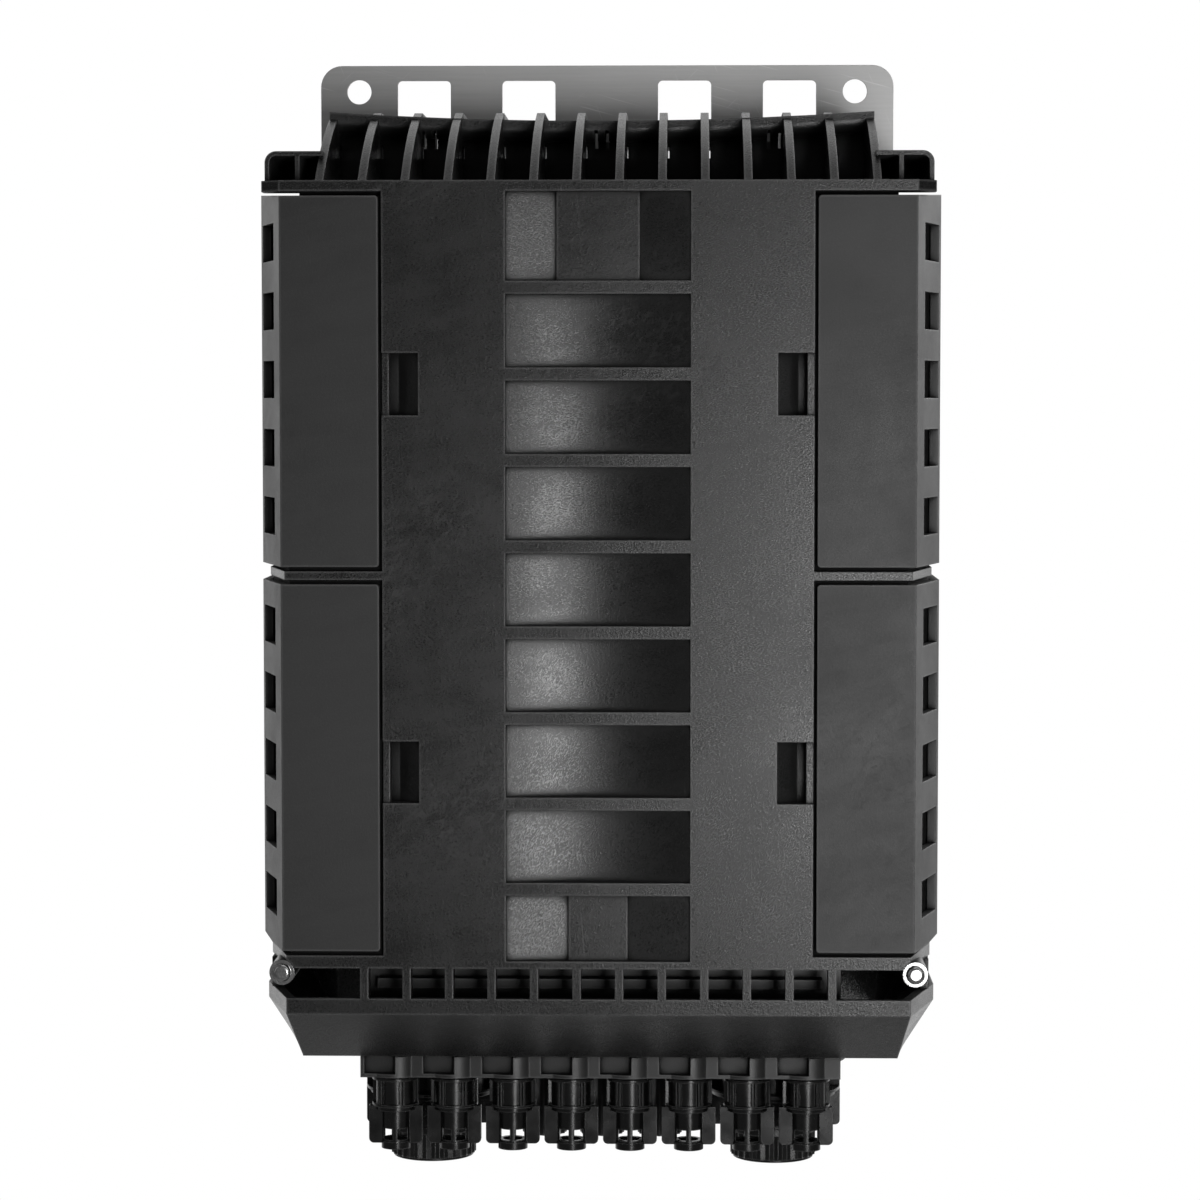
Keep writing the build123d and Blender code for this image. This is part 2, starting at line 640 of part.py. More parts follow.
def bracket_bosses():
    seat = base_back + BRACKET_GAP
    bosses = []
    for x in BRACKET_SCREW_X:
        boss = rod_y(x, BRACKET_SCREW_Z, BRACKET_BOSS_R, (seat - 12, seat))
        foot = block((x - BRACKET_BOSS_R, x + BRACKET_BOSS_R), (seat - 12, base_back),
                     (z_neck, BRACKET_SCREW_Z))
        bosses += both(boss) + both(foot)
    return bosses


def bracket_screw_holes():
    holes = []
    for x in BRACKET_SCREW_X:
        holes += both(rod_y(x, BRACKET_SCREW_Z, BRACKET_SCREW_R, (DEPTH - BRACKET_SCREW_L - 1, DEPTH + 1)))
    return holes


def port_places():
    """Every port: x, depth and radius of its hole in the port block's deck."""
    small = [(x, SMALL_DEPTH, SMALL_CORE_R + SPIGOT_CLEAR) for x in row(SMALL_GLANDS, SMALL_PITCH)]
    large = [(x, LARGE_DEPTH, LARGE_CORE_R + SPIGOT_CLEAR) for x in (-LARGE_X, LARGE_X)]
    return small + large + [(x, REAR_DEPTH, PLUG_BORE_R) for x in row(REAR_PLUGS, SMALL_PITCH)]


def port_box():
    """Half width, front and back of the port block's walls."""
    half = (SMALL_GLANDS - 1) / 2 * SMALL_PITCH + SMALL_BOSS_R
    return half, SMALL_DEPTH - SMALL_BOSS_R + PORT_STEP, PORT_BACK - PORT_STEP


def base_plan(inset):
    """Outline of the base behind the parting plane, drawn in by an inset."""
    half, back = base_half - inset, base_back - inset
    across, deep = BASE_CORNER
    right = [(half, base_front - 1), (half, base_back - deep), (half - across, back)]
    return right + [(-x, d) for x, d in reversed(right)]


def port_opening():
    half, front, back = port_box()
    return block((PORT_WALL - half, half - PORT_WALL), (front + PORT_WALL, back - PORT_WALL),
                 (z_port - 1, z_floor + 1))


def floor_plate():
    """Floor between the feet of both shells: it carries the gasket and opens into the port block."""
    crease = FRONT_HALF - slope_offset(CLAMP_T + CLAMP_CLEAR) - WALL - FLOOR_CLEAR
    front = plan(trapezium(crease, shell_half - WALL - FLOOR_CLEAR, floor_front,
                           floor_slope_end - floor_front, base_front - FLOOR_FIT), (z_port, z_floor))
    rear = plan(base_plan(WALL + FLOOR_FIT), (z_port, z_floor))
    return (front + rear) - port_opening()


def rear_base():
    flange = block((-shell_half, shell_half), (base_front, base_front + 6.5), (z_bar, z_upper))
    neck = block((-neck_half, neck_half), (base_front, base_back), (z_upper, z_top))
    body = plan(base_plan(0), (z_window, z_upper))
    body = body - block((-base_half, base_half), (base_front - 1, base_front), (z_window, z_upper))
    whole = body + [flange, neck]
    whole = whole - [plan(base_plan(WALL), (z_port, z_upper - WALL)),
                     plan(base_plan(WALL + FLOOR_LEDGE), (z_window - 1, z_port))]

    lugs = []
    for z_clamp in (z_upper, z_lower):
        for top in lug_heights(z_clamp):
            span = (top - LUG_L, top)
            lugs.append(rod_z(pin_half, PIN_DEPTH, LUG_R, span))
            lugs.append(plan([(base_half - 1, PIN_DEPTH - 12), (pin_half, PIN_DEPTH - LUG_R),
                              (pin_half, PIN_DEPTH + LUG_R), (base_half - 1, PIN_DEPTH + LUG_R)], span))
    lugs_both = []
    for piece in lugs:
        lugs_both += both(piece)
    shoulders = []
    for piece in shoulder((base_front, base_back - 6), 4.5):
        shoulders += both(piece)
    posts = both(block((base_half - WALL, skirt_side_half), (base_front, base_front + 8), (z_window, z_bar)))
    screw_posts = both(rod_y(screw_half, z_screw, SCREW_BOSS_R, (base_front, base_front + 14)))
    rib_depth = (base_back - 1, base_back + BACK_RIB_RISE)
    rib_z = (z_floor + BACK_RIB_INSET, z_upper - BACK_RIB_INSET)
    back_ribs = [block((x - BACK_RIB_T / 2, x + BACK_RIB_T / 2), rib_depth, rib_z)
                 for x in row(BACK_RIBS, BACK_RIB_PITCH)]
    span = base_half - BACK_RIB_INSET
    back_ribs += [block((-span, span), rib_depth, (z - BACK_RIB_T / 2, z + BACK_RIB_T / 2))
                  for z in (rib_z[1] - CLAMP_H / 4, z_divider, rib_z[0] + CLAMP_H / 4)]
    whole = whole + (lugs_both + shoulders + posts + screw_posts + back_ribs + [base_skirt()])
    crest = crest_wall((base_front, base_front + CREST_T))
    whole = whole + (base_fins() + crest + hooks() + bracket_bosses())
    cuts = crest_cuts((base_front - 1, base_front + RIM_DEPTH)) + bracket_screw_holes()
    for z_clamp in (z_upper, z_lower):
        cuts += both(rod_z(pin_half, PIN_DEPTH, PIN_R + 0.02, (z_clamp - CLAMP_H - 1, z_clamp + 1)))
    cuts += both(rod_y(screw_half, z_screw, SCREW_R, (base_front - 1, base_front + 10)))
    return whole - (cuts + seal_bars())


# Gasket

def seal_bars():
    """The part of the gasket that lies in the base's groove: an arch and two legs in the parting plane."""
    sunk = base_front + SEAL_T - PARTING_GAP
    arch = block((-seal_outer, seal_outer), (cover_back, sunk), (seal_crown - SEAL_W, seal_crown))
    legs = both(block((seal_outer - SEAL_W, seal_outer), (cover_back, sunk), (z_floor, seal_crown)))
    return [arch] + legs


def perimeter_gasket():
    """The arch and legs, carried forward along the floor to a bar across the front."""
    crease = FRONT_HALF - slope_offset(CLAMP_T + CLAMP_CLEAR) - WALL - FLOOR_CLEAR
    half = shell_half - WALL - FLOOR_CLEAR
    z = (z_floor, z_floor + SEAL_T - PARTING_GAP)
    outer = plan(trapezium(crease, half, floor_front, floor_slope_end - floor_front, cover_back), z)
    inner = plan(trapezium(crease - SEAL_W, half - SEAL_W, floor_front + SEAL_W,
                           floor_slope_end - floor_front - SEAL_W, cover_back + 1), z)
    jogs = both(block((seal_outer - SEAL_W, half), (cover_back - SEAL_W, cover_back), z))
    return (outer - inner) + (jogs + seal_bars())


# Bracket

def mounting_bracket():
    half = BRACKET_W / 2
    plate = block((-half, half), (DEPTH - BRACKET_T, DEPTH), (-BRACKET_DOWN, BRACKET_UP))
    plate = fillet(plate.edges().filter_by(Axis.Y).group_by(Axis.Z)[-1], BRACKET_R)
    cuts = both(rod_y(BOLT_SPACING / 2, 0, BOLT_R, (DEPTH - BRACKET_T - 1, DEPTH + 1)))
    for x in STRAP_CUT_X:
        hole = block((x - STRAP_CUT / 2, x + STRAP_CUT / 2), (DEPTH - BRACKET_T - 1, DEPTH + 1),
                     (STRAP_CUT_UP - STRAP_CUT, STRAP_CUT_UP))
        cuts += both(fillet(hole.edges().filter_by(Axis.Y), STRAP_CUT_R))
    for x in (-HOOK_X, 0, HOOK_X):
        cuts.append(block((x - HOOK_SLOT_W / 2, x + HOOK_SLOT_W / 2), (DEPTH - BRACKET_T - 1, DEPTH + 1),
                          (-BRACKET_DOWN - 1, -BRACKET_DOWN + HOOK_SLOT_H)))
    for x in BRACKET_SCREW_X:
        cuts += both(countersunk(x, BRACKET_SCREW_R + SINK_CLEAR, BRACKET_HEAD_R + SINK_CLEAR, BRACKET_T + 1))
    return plate - cuts


# Fasteners

def countersunk(x, shank_r, head_r, length):
    """Flat-headed screw form whose head lies flush with the pole face."""
    head_t = BRACKET_T - 0.3
    cone = Pos(x, -head_t / 2, BRACKET_SCREW_Z) * Rot(-90, 0, 0) * Cone(shank_r, head_r, head_t)
    return cone + rod_y(x, BRACKET_SCREW_Z, shank_r, (DEPTH - length, DEPTH - head_t / 2))


def bracket_screws():
    screws = []
    for x in BRACKET_SCREW_X:
        screws += both(countersunk(x, BRACKET_SCREW_R - 0.05, BRACKET_HEAD_R, BRACKET_SCREW_L))
    return Compound(children=screws)


def captive_screw(x):
    face = SCREW_BOSS_FRONT - SCREW_WASHER_T
    head = rod_y(x, z_screw, SCREW_HEAD_R, (face - SCREW_HEAD_H, face))
    head = fillet(head.edges().group_by(Axis.Y)[0], 0.8 * SCREW_HEAD_H)
    return head + rod_y(x, z_screw, SCREW_R - 0.1, (face, face + SCREW_L))


def screw_washer(x):
    ring = rod_y(x, z_screw, SCREW_WASHER_R, (SCREW_BOSS_FRONT - SCREW_WASHER_T, SCREW_BOSS_FRONT))
    return ring - rod_y(x, z_screw, SCREW_R + 0.1, (SCREW_BOSS_FRONT - 2, SCREW_BOSS_FRONT + 1))


# Port block

def port_block():
    """Open box under the base's floor, with the gland holes in its deck."""
    half, front, back = port_box()
    z_flange = z_port - PORT_FLANGE_T
    flange = block((-half - PORT_STEP, half + PORT_STEP), (front - PORT_STEP, back + PORT_STEP),
                   (z_flange, z_port))
    lip = block((-PORT_LIP_HALF, PORT_LIP_HALF), (front - PORT_STEP - 4, front + 1),
                (z_lip - PORT_LIP_T, z_lip))
    plate = (z_port_foot, z_foot - FLOOR_CLEAR)
    box = block((-half, half), (front, back), (z_port_foot, z_port))
    bosses = [rod_z(x, SMALL_DEPTH, SMALL_BOSS_R, plate) for x in row(SMALL_GLANDS, SMALL_PITCH)]
    bosses += [rod_z(x, LARGE_DEPTH, LARGE_BOSS_R, plate) for x in (-LARGE_X, LARGE_X)]
    hollow = block((PORT_WALL - half, half - PORT_WALL), (front + PORT_WALL, back - PORT_WALL),
                   (plate[1], z_port + 1))
    holes = [rod_z(x, depth, radius, (z_port_foot - 1, plate[1] + 1)) for x, depth, radius in port_places()]
    pockets = []
    for x in row(SMALL_GLANDS, SMALL_PITCH):
        middle = x + PORT_POCKET_SHIFT
        pockets.append(block((middle - PORT_POCKET_W / 2, middle + PORT_POCKET_W / 2),
                             (SMALL_DEPTH - SMALL_BOSS_R - 1, SMALL_DEPTH - SMALL_BOSS_R + PORT_POCKET_DEEP),
                             (z_port_foot + PORT_POCKET_SILL, plate[1] + 1)))
    return ((flange + ([lip, box] + bosses)) - ([hollow] + holes)) - pockets


# Glands

class Gland:
    """One size of cable gland, hung from the foot of the port block."""

    def __init__(self, x, depth, core_r, bore_r, nut_r, nut_wall, wing, barrel_r, windows, turn):
        self.x, self.depth = x, depth
        self.core_r, self.bore_r = core_r, bore_r
        self.nut_r, self.nut_wall = nut_r, nut_wall
        self.wing, self.barrel_r = wing, barrel_r
        self.windows, self.turn = windows, turn
        self.z_nut = (z_port_foot - NUT_GAP - NUT_H, z_port_foot - NUT_GAP)
        self.z_wing = self.z_nut[0] - NUT_CLEAR
        self.z_end = self.z_wing - WING_H
        self.seal_z = (z_port_foot - 8.0, z_port_foot + SPIGOT_L - 4.0)

    def rod(self, radius, z):
        return rod_z(self.x, self.depth, radius, z)

    def body(self):
        core = self.rod(self.core_r, (self.z_wing, z_port_foot + SPIGOT_L))
        seat = self.rod(self.nut_r - 1.4, (z_port_foot - NUT_GAP + NUT_CLEAR, z_port_foot))
        collar = self.rod(self.nut_r - 1.5, (self.z_wing - 1.5, self.z_wing))
        barrel = self.rod(self.barrel_r, (self.z_end, self.z_wing))
        ring = self.rod(self.barrel_r + 0.3, (self.z_end, self.z_end + END_RING))
        wing = block((self.x - self.wing / 2, self.x + self.wing / 2),
                     (self.depth - WING_T / 2, self.depth + WING_T / 2), (self.z_end + 1.9, self.z_wing))
        wing = fillet(wing.edges().filter_by(Axis.Y).group_by(Axis.Z)[0], WING_ROUND)
        piece = core + [seat, collar, barrel, ring, wing]
        cuts = [self.rod(self.bore_r, (self.z_end - 1, z_port_foot + SPIGOT_L + 1)),
                self.rod(self.bore_r + 1.2, (self.seal_z[0], z_port_foot + SPIGOT_L + 1))]
        if self.windows:
            width, height = GLAND_WINDOW
            low = self.z_end + END_RING + 0.8
            for x in (self.x - GLAND_POST / 2 - width, self.x + GLAND_POST / 2):
                cuts.append(block((x, x + width), (self.depth - 9, self.depth + 9), (low, low + height)))
        return piece - cuts

    def nut(self):
        hole_r = self.core_r + NUT_CLEAR
        tube = self.rod(hole_r + self.nut_wall, self.z_nut)
        low = self.rod(self.nut_r, (self.z_nut[0], self.z_nut[0] + NUT_RIM))
        high = self.rod(self.nut_r, (self.z_nut[1] - NUT_RIM, self.z_nut[1]))
        ribs = []
        length = self.nut_r - hole_r - 0.1
        for k in range(NUT_WINDOWS):
            place = Pos(self.x, y_of(self.depth), sum(self.z_nut) / 2)
            for spread in (-MULLION_SPREAD, MULLION_SPREAD):
                angle = Rot(0, 0, self.turn + spread + 360 * k / NUT_WINDOWS)
                ribs.append(place * angle * Pos(hole_r + 0.05 + length / 2, 0, 0) * Box(length, MULLION, NUT_H))
        return (tube + ([low, high] + ribs)) - self.rod(hole_r, (self.z_nut[0] - 1, self.z_nut[1] + 1))

    def seal(self):
        return self.rod(self.bore_r + 1.2, self.seal_z)


def fluted(x, depth, radius, groove, count, z):
    """Grip with fine vertical flutes."""
    points = []
    for k in range(2 * count):
        angle = math.pi * k / count
        reach = radius - groove * (k % 2)
        points.append((x + reach * math.cos(angle), depth + reach * math.sin(angle)))
    return plan(points, z)


def small_glands():
    places = zip(row(SMALL_GLANDS, SMALL_PITCH), NUT_TURNS)
    return [Gland(x, SMALL_DEPTH, SMALL_CORE_R, SMALL_BORE_R, SMALL_NUT_R, NUT_WALL, SMALL_WING,
                  SMALL_BARREL_R, True, turn) for x, turn in places]


def large_gland(x):
    return Gland(x, LARGE_DEPTH, LARGE_CORE_R, LARGE_BORE_R, LARGE_NUT_R, 2 * NUT_WALL, 2 * LARGE_NUT_R,
                 LARGE_BARREL_R, False, 0.0)


def large_cap(gland):
    """Blanking cap: a fluted rim under the gland's end and a spigot up its bore."""
    z = gland.z_end
    grip = fluted(gland.x, gland.depth, LARGE_BARREL_R, 0.7, LARGE_CAP_RIBS, (z - LARGE_CAP_H + 1, z))
    foot = gland.rod(LARGE_BARREL_R - 1, (z - LARGE_CAP_H, z - LARGE_CAP_H + 1))
    return grip + [foot, gland.rod(gland.bore_r - NUT_CLEAR, (z, z + 10))]


def rear_plug(x):
    stem = rod_z(x, REAR_DEPTH, PLUG_BORE_R - SPIGOT_CLEAR, (z_port_foot, z_port_foot + SPIGOT_L))
    flange = rod_z(x, REAR_DEPTH, PLUG_R, (z_port_foot - 4, z_port_foot))
    grip = fluted(x, REAR_DEPTH, PLUG_R - 0.6, 0.6, 16, (z_port_foot - PLUG_L, z_port_foot - 4))
    return stem + [flange, grip]


# Inside

def tray_z():
    top = z_top - TRAY_DROP
    return (top - TRAY_H, top)


def splice_tray(index):
    """Shallow dish with two coiling hubs and a comb for the splices."""
    front = TRAY_FRONT + index * TRAY_PITCH
    low, high = tray_z()
    half = TRAY_W / 2
    back = front + TRAY_T
    floor = (front + TRAY_T - TRAY_FLOOR, back)
    dish = block((-half, half), (front, back), (low, high))
    dish = dish - block((-half + TRAY_WALL, half - TRAY_WALL), (front - 1, floor[0]),
                        (low + TRAY_WALL, high - TRAY_WALL))
    z_hub = low + TRAY_H * 0.36
    hubs = []
    for x in (-TRAY_W / 4, TRAY_W / 4):
        hub = rod_y(x, z_hub, HUB_R, (front + 1, back))
        hubs.append(hub - rod_y(x, z_hub, HUB_R - TRAY_WALL, (front, floor[0])))
    comb_z = (high - COMB_DROP - COMB_H, high - COMB_DROP)
    comb = [block((x - 0.8, x + 0.8), (front + 1, back), comb_z) for x in row(7, COMB_PITCH)]
    return dish + hubs + comb


def tray_lid():
    half = TRAY_W / 2
    return block((-half, half), (TRAY_FRONT - LID_T, TRAY_FRONT), tray_z())


def tray_strap():
    low, high = tray_z()
    middle = (low + high) / 2
    z = (middle - STRAP_W / 2, middle + STRAP_W / 2)
    half = TRAY_W / 2
    back = TRAY_FRONT + (TRAYS - 1) * TRAY_PITCH + TRAY_T
    inner = block((-half, half), (TRAY_FRONT - LID_T, back), (z[0] - 1, z[1] + 1))
    outer = block((-half - STRAP_T, half + STRAP_T), (TRAY_FRONT - LID_T - STRAP_T, back + STRAP_T), z)
    return outer - inner


def tray_rack():
    """Shelf that carries the trays, with its back plate on the base's back wall."""
    low = tray_z()[0]
    half = RACK_W / 2
    back = base_back - WALL
    shelf = block((-half, half), (TRAY_FRONT - LID_T, back), (low - RACK_T, low))
    foot = low - RACK_T - RACK_PLATE_H
    plate = block((-half, half), (back - RACK_T, back), (foot, low - RACK_T))
    webs = both(side([(back - RACK_T - RACK_WEB, low - RACK_T), (back - RACK_T, low - RACK_T),
                      (back - RACK_T, foot)],
                     (half - 4 * RACK_WEB_T, half - 3 * RACK_WEB_T)))
    return shelf + [plate] + webs


def fibre_basket():
    low, high = tray_z()
    half = TRAY_W / 2 + BASKET_SPREAD
    back = base_back - WALL
    front = back - BASKET_DEPTH
    box = block((-half, half), (front, back), (low, high + 4))
    hollow = block((-half + BASKET_T, half - BASKET_T), (front - 1, back - BASKET_T),
                   (low + BASKET_T, high + 4 - BASKET_T))
    lips = [block((x - BASKET_LIP / 2, x + BASKET_LIP / 2), (front, front + BASKET_T), z)
            for x in row(BASKET_LIPS, BASKET_LIP_PITCH)
            for z in ((low, low + BASKET_LIP), (high + 4 - BASKET_LIP, high + 4))]
    return (box - hollow) + lips


def anchor_bar():
    """Steel bar with notches, where the cables are tied down."""
    z = (z_top - ANCHOR_DROP - ANCHOR_H, z_top - ANCHOR_DROP)
    half = ANCHOR_W / 2
    depth = (ANCHOR_DEPTH, ANCHOR_DEPTH + ANCHOR_T)
    notches = [block((x - 4, x + 4), (depth[0] - 1, depth[1] + 1), (z[0] - 1, z[0] + 5)) for x in row(8, 23.0)]
    return block((-half, half), depth, z) - notches


def anchor_posts():
    z = z_top - ANCHOR_DROP - ANCHOR_H / 2 + 1
    back = base_back - WALL
    depth = (ANCHOR_DEPTH + ANCHOR_T, back)
    return Compound(children=[rod_y(x, z, POST_R, depth) for x in row(POSTS, POST_PITCH)])


def numbered(name, shapes):
    return {f"{name}_{k + 1}": shape for k, shape in enumerate(shapes)}


def parts():
    small = small_glands()
    large = {"left": large_gland(-LARGE_X), "right": large_gland(LARGE_X)}
    made = {"front_cover": front_cover(), "rear_base": rear_base(), "floor_plate": floor_plate(),
            "perimeter_gasket": perimeter_gasket()}
    for level, z_clamp, chamfered in (("upper", z_upper, False), ("lower", z_lower, True)):
        right = clamp(z_clamp, chamfered)
        pin = hinge_pin(z_clamp)
        made[f"clamp_{level}_right"], made[f"clamp_{level}_left"] = both(right)
        made[f"hinge_pin_{level}_right"], made[f"hinge_pin_{level}_left"] = both(pin)
    made["mounting_bracket"] = mounting_bracket()
    made["bracket_screws"] = bracket_screws()
    for hand, x in (("left", -screw_half), ("right", screw_half)):
        made[f"captive_screw_{hand}"] = captive_screw(x)
        made[f"screw_washer_{hand}"] = screw_washer(x)
    made["port_block"] = port_block()
    made.update(numbered("gland_body", [gland.body() for gland in small]))
    made.update(numbered("gland_nut", [gland.nut() for gland in small]))
    made["small_gland_seals"] = Compound(children=[gland.seal() for gland in small])
    made["large_gland_seals"] = Compound(children=[gland.seal() for gland in large.values()])
    for hand, gland in large.items():
        made[f"large_gland_body_{hand}"] = gland.body()
        made[f"large_gland_nut_{hand}"] = gland.nut()
        made[f"large_gland_cap_{hand}"] = large_cap(gland)
    made.update(numbered("rear_plug", [rear_plug(x) for x in row(REAR_PLUGS, SMALL_PITCH)]))
    made.update(numbered("splice_tray", [splice_tray(k) for k in range(TRAYS)]))
    made["tray_lid"] = tray_lid()
    made["tray_strap"] = tray_strap()
    made["tray_rack"] = tray_rack()
    made["fibre_basket"] = fibre_basket()
    made["anchor_bar"] = anchor_bar()
    made["anchor_posts"] = anchor_posts()
    return made


def main():
    os.makedirs("parts", exist_ok=True)
    for name, shape in parts().items():
        export_step(shape, f"parts/{name}.step")


main()
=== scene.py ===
import json
import math

import bpy
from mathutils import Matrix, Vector


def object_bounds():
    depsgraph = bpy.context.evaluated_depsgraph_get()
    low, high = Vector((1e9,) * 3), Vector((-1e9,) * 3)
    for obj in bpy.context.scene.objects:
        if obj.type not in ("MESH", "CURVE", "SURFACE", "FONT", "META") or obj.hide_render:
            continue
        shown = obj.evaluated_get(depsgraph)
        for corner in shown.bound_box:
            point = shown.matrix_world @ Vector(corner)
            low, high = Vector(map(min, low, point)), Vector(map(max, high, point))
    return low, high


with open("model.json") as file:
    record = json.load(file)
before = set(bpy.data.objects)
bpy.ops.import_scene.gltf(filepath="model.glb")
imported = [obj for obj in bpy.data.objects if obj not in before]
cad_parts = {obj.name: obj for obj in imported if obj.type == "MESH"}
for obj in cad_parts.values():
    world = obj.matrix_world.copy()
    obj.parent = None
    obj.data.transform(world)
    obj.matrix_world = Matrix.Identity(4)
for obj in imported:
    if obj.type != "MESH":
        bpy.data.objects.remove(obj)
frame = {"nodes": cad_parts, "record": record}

cad_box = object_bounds()
nodes = frame["nodes"]
slot_of = {part["node"]: part["material_slot"] for part in frame["record"]["subparts"]}
scene = bpy.context.scene

# Camera: found from points measured on the photograph, a little right of and above the middle of the front
CAMERA_AT = Vector((0.0344, -1.5034, -0.1276))
CAMERA_YAW = math.radians(-1.421)
CAMERA_PITCH = math.radians(-3.36)
FOCAL_PIXELS = 3520.7
IMAGE_PIXELS = 1200
SENSOR = 36.0  # mm
CLIP_NEAR, CLIP_FAR = 0.05, 50.0

camera_data = bpy.data.cameras.new("camera")
camera = bpy.data.objects.new("camera", camera_data)
scene.collection.objects.link(camera)
camera_data.sensor_width = SENSOR
camera_data.lens = FOCAL_PIXELS / IMAGE_PIXELS * SENSOR
camera_data.clip_start = CLIP_NEAR
camera_data.clip_end = CLIP_FAR
looking = Vector((math.sin(CAMERA_YAW) * math.cos(CAMERA_PITCH),
                  math.cos(CAMERA_YAW) * math.cos(CAMERA_PITCH),
                  math.sin(CAMERA_PITCH)))
camera.location = CAMERA_AT
camera.rotation_euler = looking.to_track_quat("-Z", "Y").to_euler()
scene.camera = camera


# Materials

GAP_REACH = 0.014  # recesses and corners of this size get painted shade
CRACK_REACH = 0.003  # the gaps between pieces of this size get painted shade too
EDGE_HIGHLIGHT_WIDTH = 0.0014  # width of the painted highlight line along outer edges
LEAN_LOW, LEAN_HIGH = -0.30, -0.20  # the grain runs level above and leans below this height
LEVEL_TURN, LEAN_TURN = 0.08, 0.95  # turn of the level and of the leaning strokes, in radians
STROKE_GRAIN = (1000.0, 2600.0, 3000.0)  # stretch of the moulded grain's strokes
STEEL_GRAIN = (26.0, 900.0, 900.0)  # brushed steel: long across the width, fine the other ways
PLASTIC_IOR = 1.5
SHEET_IOR = 1.49
PAINTED_CREVICE_SHADE = 0.0006  # painted shade inside gaps and recesses
SCUFF_TONE = 0.06  # scratches and rubbed patches on moulded plastic
EDGE_HIGHLIGHT_TONE, GLOSS_EDGE_HIGHLIGHT_TONE = 0.09, 0.07  # painted highlight on outer edges, moulded and glossy
# share of the painted edge highlight's tone that the outer edges take
EDGE_HIGHLIGHT_SHARE = 0.8
BARE_SCRATCH_TONE = 0.75  # scratches on steel
STEEL_WARMTH = 0.004
MOULDED_ROUND, GLOSSY_ROUND, SHEET_ROUND, TURNED_ROUND = 0.0006, 0.0005, 0.0004, 0.0003  # radii of the edges


class Graph:
    """A material's node graph, with short calls for the nodes used here."""

    def __init__(self, name):
        self.material = bpy.data.materials.new(name)
        self.material.use_nodes = True
        self.tree = self.material.node_tree
        self.tree.nodes.clear()
        self.out = self.tree.nodes.new("ShaderNodeOutputMaterial")
        self.shader = self.tree.nodes.new("ShaderNodeBsdfPrincipled")
        self.link(self.shader.outputs[0], self.out.inputs["Surface"])
        self.place = self.tree.nodes.new("ShaderNodeTexCoord").outputs["Object"]

    def link(self, a, b):
        self.tree.links.new(a, b)

    def node(self, kind, **values):
        made = self.tree.nodes.new(kind)
        for key, value in values.items():
            if hasattr(made, key):
                setattr(made, key, value)
            else:
                self.put(made.inputs[key.replace("_", " ")], value)
        return made

    def put(self, socket, value):
        if isinstance(value, bpy.types.NodeSocket):
            self.link(value, socket)
        else:
            socket.default_value = value

    def stretch(self, scale):
        """Object coordinates, stretched."""
        mapping = self.node("ShaderNodeMapping", Vector=self.place)
        mapping.inputs["Scale"].default_value = scale
        return mapping.outputs[0]

    def turned(self, scale, turn):
        """Object coordinates, turned first and stretched after."""
        mapping = self.node("ShaderNodeMapping", Vector=self.place)
        mapping.inputs["Rotation"].default_value = turn
        stretched = self.node("ShaderNodeMapping", Vector=mapping.outputs[0])
        stretched.inputs["Scale"].default_value = scale
        return stretched.outputs[0]

    def noise(self, scale, detail=3.0, rough=0.5, vector=None, distortion=0.0):
        made = self.node("ShaderNodeTexNoise", Scale=scale, Detail=detail, Roughness=rough,
                         Distortion=distortion)
        self.link(vector or self.place, made.inputs["Vector"])
        return made.outputs["Fac"]

    def ramp(self, value, low, high, out_low=0.0, out_high=1.0):
        made = self.node("ShaderNodeMapRange", Value=value)
        made.inputs["From Min"].default_value = low
        made.inputs["From Max"].default_value = high
        made.inputs["To Min"].default_value = out_low
        made.inputs["To Max"].default_value = out_high
        return made.outputs[0]

    def math(self, operation, a, b):
        made = self.node("ShaderNodeMath", operation=operation)
        self.put(made.inputs[0], a)
        self.put(made.inputs[1], b)
        return made.outputs[0]

    def mix(self, factor, a, b):
        made = self.tree.nodes.new("ShaderNodeMix")
        made.data_type = "RGBA"
        self.put(made.inputs[0], factor)
        self.put(made.inputs[6], a)
        self.put(made.inputs[7], b)
        return made.outputs[2]

    def edges(self, radius):
        """Normal that rounds the edges over a small radius."""
        return self.node("ShaderNodeBevel", samples=4, Radius=radius).outputs[0]

    def open_to_air(self, reach):
        """1 on open faces, towards 0 in gaps and corners narrower than the reach."""
        return self.node("ShaderNodeAmbientOcclusion", samples=6, Distance=reach).outputs["AO"]

    def painted_edge_highlight(self, rounded, openness):
        """Mask of the painted edge highlight: 1 along outer edges, where the rounded normal leaves the
        face's own, away from inner corners.
        """
        face = self.node("ShaderNodeNewGeometry").outputs["Normal"]
        turn = self.node("ShaderNodeVectorMath", operation="DOT_PRODUCT")
        self.link(rounded, turn.inputs[0])
        self.link(face, turn.inputs[1])
        edge = self.ramp(turn.outputs["Value"], 0.998, 0.93)
        return self.math("MULTIPLY", edge, self.ramp(openness, 0.8, 0.92))

    def place_part(self, axis):
        """One coordinate of the place on the object, in metres."""
        split = self.node("ShaderNodeSeparateXYZ", Vector=self.place)
        return split.outputs[axis]

    def bump(self, height, distance, strength=1.0, below=None):
        made = self.node("ShaderNodeBump", Height=height, Distance=distance, Strength=strength)
        if below is not None:
            self.link(below, made.inputs["Normal"])
        return made.outputs[0]

    def set(self, **values):
        for key, value in values.items():
            self.put(self.shader.inputs[key.replace("_", " ")], value)


def grey(value, warm=0.0):
    """Grey as a colour, a little warmer if asked."""
    return (value * (1 + warm), value, value * (1 - warm), 1.0)


def scratches(graph, across, along, angle, patches):
    """Sparse straight scratches at one angle on the front, kept in patches."""
    lines = graph.noise(1.0, 1.0, 0.4, graph.turned((across, across, along), (0.0, angle, 0.0)))
    patch = graph.ramp(graph.noise(patches, 2.0), 0.46, 0.6)
    return graph.math("MULTIPLY", graph.ramp(lines, 0.7, 0.78), patch)


